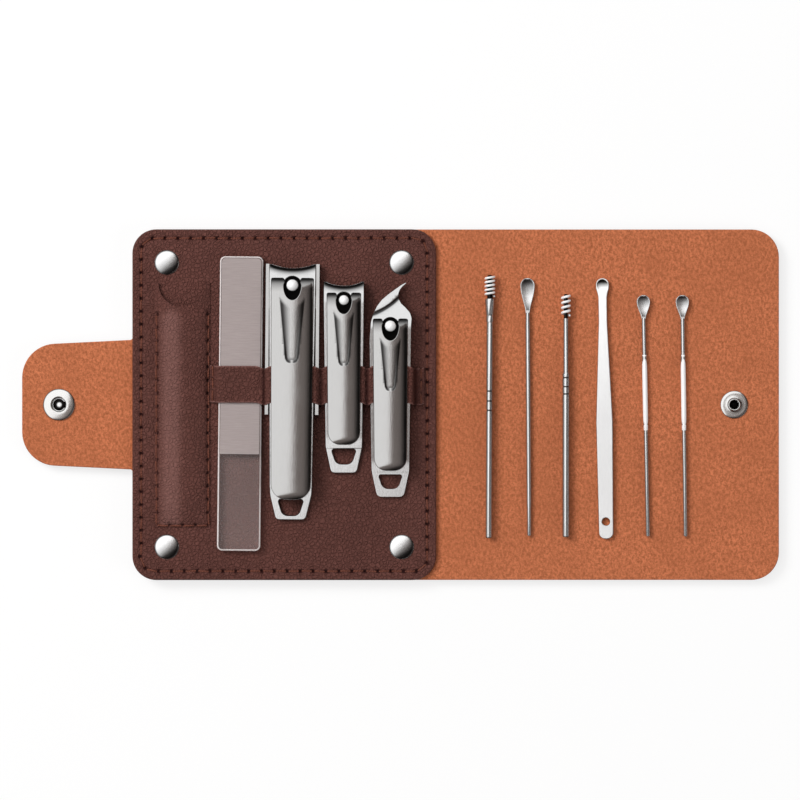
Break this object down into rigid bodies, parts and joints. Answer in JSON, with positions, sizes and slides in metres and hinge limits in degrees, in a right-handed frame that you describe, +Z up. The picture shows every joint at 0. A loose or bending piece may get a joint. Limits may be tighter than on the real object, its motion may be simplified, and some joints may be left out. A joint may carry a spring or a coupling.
{
  "type": "manicure set case",
  "caption": "Fold-over leather manicure case, lying open: stitched tool panel with pocket and strap, nail clippers, glass file and ear picks, snap tab.",
  "frame": {"origin": "middle of the open case's outline, at the level of the surface it lies on (the snap stud's tip)", "axes": "+X from the closing tab towards the cover's free edge, +Y towards the clippers' jaws, +Z up out of the open case"},
  "size_m": [0.237, 0.1098, 0.0121],
  "materials": {
    "brown_leather": "fine pebbled grain, satin",
    "tan_suede": "mottled suede nap",
    "board": "fibreboard",
    "thread": "twisted thread",
    "glass": "clear, polished edge",
    "etched_grit": "etched, finely brushed",
    "dark_polished_steel": "satin polished",
    "bright_steel": "polished",
    "spring_wire": "drawn wire"
  },
  "bodies": {
    "case": {"back_leather": "brown_leather", "back_lining": "tan_suede", "panel_board": "board", "panel_face": "brown_leather", "pocket_front": "brown_leather", "seam_thread": "thread", "pocket_thread": "thread", "strap_thread": "thread", "strap": "brown_leather", "rivet_caps": "bright_steel", "rivet_posts": "bright_steel"},
    "spine": {"spine_leather": "brown_leather", "spine_lining": "tan_suede"},
    "cover": {"cover_leather": "brown_leather", "cover_lining": "tan_suede", "snap_post": "bright_steel", "snap_stud": "bright_steel"},
    "tab_riser": {"tab_riser_leather": "brown_leather", "tab_riser_lining": "tan_suede"},
    "tab_flap": {"tab_flap_leather": "brown_leather", "tab_flap_lining": "tan_suede", "snap_cap": "bright_steel", "snap_socket": "bright_steel", "snap_spring": "spring_wire"},
    "file": {"nail_file": "glass", "file_grit": "etched_grit"},
    "big_arms": {"big_lower_arm": "bright_steel", "big_guard": "bright_steel", "big_tail_rivet": "bright_steel"},
    "big_top": {"big_upper_arm": "bright_steel"},
    "big_pin": {"big_pin": "bright_steel"},
    "big_lever": {"big_lever": "dark_polished_steel"},
    "small_arms": {"small_lower_arm": "bright_steel", "small_tail_rivet": "bright_steel"},
    "small_top": {"small_upper_arm": "bright_steel"},
    "small_pin": {"small_pin": "bright_steel"},
    "small_lever": {"small_lever": "dark_polished_steel"},
    "slant_arms": {"slant_lower_arm": "bright_steel", "slant_tail_rivet": "bright_steel"},
    "slant_top": {"slant_upper_arm": "bright_steel"},
    "slant_pin": {"slant_pin": "bright_steel"},
    "slant_lever": {"slant_lever": "dark_polished_steel"},
    "coil_pick": {"coil_pick_rod": "bright_steel", "coil_pick_coil": "bright_steel"},
    "large_pick": {"large_spoon_pick": "bright_steel"},
    "spiral_pick": {"spiral_pick_rod": "bright_steel", "spiral_pick_coil": "bright_steel"},
    "flat_pick": {"flat_spoon_pick": "bright_steel"},
    "narrow_pick": {"narrow_spoon_pick": "bright_steel"},
    "slim_pick": {"slim_spoon_pick": "bright_steel"}
  },
  "joints": [
    {"name": "spine_fold", "type": "hinge", "parent": "case", "child": "spine", "pos_m": [0.01155, 0, 0.0031], "axis": [0, 1, 0], "range_deg": [-90, 0]},
    {"name": "cover_fold", "type": "hinge", "parent": "spine", "child": "cover", "pos_m": [0.02565, 0, 0.0031], "axis": [0, 1, 0], "range_deg": [-95.7, 0]},
    {"name": "tab_fold", "type": "hinge", "parent": "case", "child": "tab_riser", "pos_m": [-0.08505, 0, 0.0031], "axis": [0, -1, 0], "range_deg": [-121.75, 0]},
    {"name": "flap_fold", "type": "hinge", "parent": "tab_riser", "child": "tab_flap", "pos_m": [-0.09285, 0, 0.0031], "axis": [0, -1, 0], "range_deg": [-49.51, 0]},
    {"name": "file_slide", "type": "slide", "parent": "case", "child": "file", "axis": [0.0115, 0.9999, 0], "range_m": [0, 0.06]},
    {"name": "big_slide", "type": "slide", "parent": "case", "child": "big_arms", "axis": [0.0087, 1, 0], "range_m": [0, 0.05]},
    {"name": "big_squeeze", "type": "hinge", "parent": "big_arms", "child": "big_top", "pos_m": [-0.03417, -0.023, 0.00615], "axis": [1, -0.0087, 0], "range_deg": [-0.85, 0], "stiffness_Nm_per_rad": 0.4, "springref_deg": 1.15},
    {"name": "big_pin_turn", "type": "hinge", "parent": "big_arms", "child": "big_pin", "pos_m": [-0.03365, 0.0371, 0.0047], "axis": [0, 0, -1], "range_deg": [0, 180]},
    {"name": "big_lever_lift", "type": "hinge", "parent": "big_pin", "child": "big_lever", "pos_m": [-0.03364, 0.0386, 0.01015], "axis": [-1, 0.0087, 0], "range_deg": [0, 150]},
    {"name": "small_slide", "type": "slide", "parent": "case", "child": "small_arms", "axis": [0, 1, 0], "range_m": [0, 0.0355]},
    {"name": "small_squeeze", "type": "hinge", "parent": "small_arms", "child": "small_top", "pos_m": [-0.01765, -0.0104, 0.00595], "axis": [1, 0, 0], "range_deg": [-1.1, 0], "stiffness_Nm_per_rad": 0.4, "springref_deg": 1.15},
    {"name": "small_pin_turn", "type": "hinge", "parent": "small_arms", "child": "small_pin", "pos_m": [-0.01765, 0.0325, 0.0047], "axis": [0, 0, -1], "range_deg": [0, 180]},
    {"name": "small_lever_lift", "type": "hinge", "parent": "small_pin", "child": "small_lever", "pos_m": [-0.01765, 0.034, 0.00965], "axis": [-1, 0, 0], "range_deg": [0, 150]},
    {"name": "slant_slide", "type": "slide", "parent": "case", "child": "slant_arms", "axis": [0, 0.9988, 0.0499], "range_m": [0, 0.043]},
    {"name": "slant_squeeze", "type": "hinge", "parent": "slant_arms", "child": "slant_top", "pos_m": [-0.00315, -0.0178, 0.006], "axis": [1, 0, 0], "range_deg": [-1.1, 0], "stiffness_Nm_per_rad": 0.4, "springref_deg": 1.15},
    {"name": "slant_pin_turn", "type": "hinge", "parent": "slant_arms", "child": "slant_pin", "pos_m": [-0.00315, 0.0244, 0.0047], "axis": [0, 0, 1], "range_deg": [0, 180]},
    {"name": "slant_lever_lift", "type": "hinge", "parent": "slant_pin", "child": "slant_lever", "pos_m": [-0.00315, 0.0259, 0.0105], "axis": [-1, 0, 0], "range_deg": [0, 150]},
    {"name": "coil_lift", "type": "slide", "parent": "cover", "child": "coil_pick", "axis": [0, 0, 1], "range_m": [0, 0.04]},
    {"name": "large_lift", "type": "slide", "parent": "cover", "child": "large_pick", "axis": [0, 0, 1], "range_m": [0, 0.04]},
    {"name": "spiral_lift", "type": "slide", "parent": "cover", "child": "spiral_pick", "axis": [0, 0, 1], "range_m": [0, 0.04]},
    {"name": "flat_lift", "type": "slide", "parent": "cover", "child": "flat_pick", "axis": [0, 0, 1], "range_m": [0, 0.04]},
    {"name": "narrow_lift", "type": "slide", "parent": "cover", "child": "narrow_pick", "axis": [0, 0, 1], "range_m": [0, 0.04]},
    {"name": "slim_lift", "type": "slide", "parent": "cover", "child": "slim_pick", "axis": [0, 0, 1], "range_m": [0, 0.04]}
  ],
  "couplings": [
    {"joint": "cover_fold", "follows": "spine_fold", "ratio": 1.0633},
    {"joint": "flap_fold", "follows": "tab_fold", "ratio": 0.40661},
    {"joint": "big_pin_turn", "follows": "big_lever_lift", "ratio": 1.2},
    {"joint": "small_pin_turn", "follows": "small_lever_lift", "ratio": 1.2},
    {"joint": "slant_pin_turn", "follows": "slant_lever_lift", "ratio": 1.2}
  ]
}
